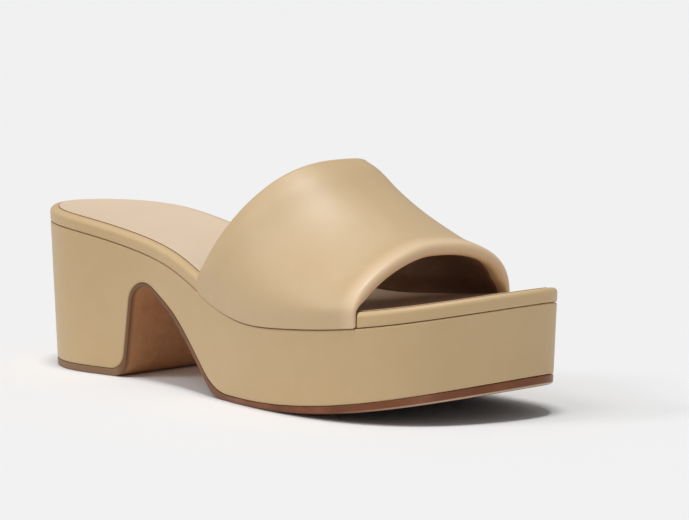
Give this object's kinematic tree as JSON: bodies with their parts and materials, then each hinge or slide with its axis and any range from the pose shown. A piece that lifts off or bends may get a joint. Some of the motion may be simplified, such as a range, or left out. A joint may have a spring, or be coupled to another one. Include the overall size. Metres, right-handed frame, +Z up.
{
  "type": "platform slide sandal",
  "caption": "Women's slide sandal for the right foot: wide padded leather strap with open toe, leather-covered platform with block heel, footbed with sock lining, and thin outsole.",
  "frame": {"origin": "on the floor, at the centre of the heel's resting face", "axes": "+X from heel to toe, +Y towards the big toe's side of the right shoe, +Z up"},
  "size_m": [0.2527, 0.0906, 0.0926],
  "materials": {
    "brown_outsole_leather": "smooth waxed brown, satin",
    "tan_leather": "smooth tan, satin",
    "footbed_leather": "smooth tan, satin",
    "sock_leather": "smooth light tan, matt",
    "strap_leather": "soft tan nappa, satin",
    "lining_leather": "dark brown, matt"
  },
  "bodies": {
    "root": {"outsole": "brown_outsole_leather", "platform_heel": "tan_leather", "footbed": "footbed_leather", "sock_lining": "sock_leather", "upper": "strap_leather", "upper_lining": "lining_leather"}
  },
  "joints": []
}
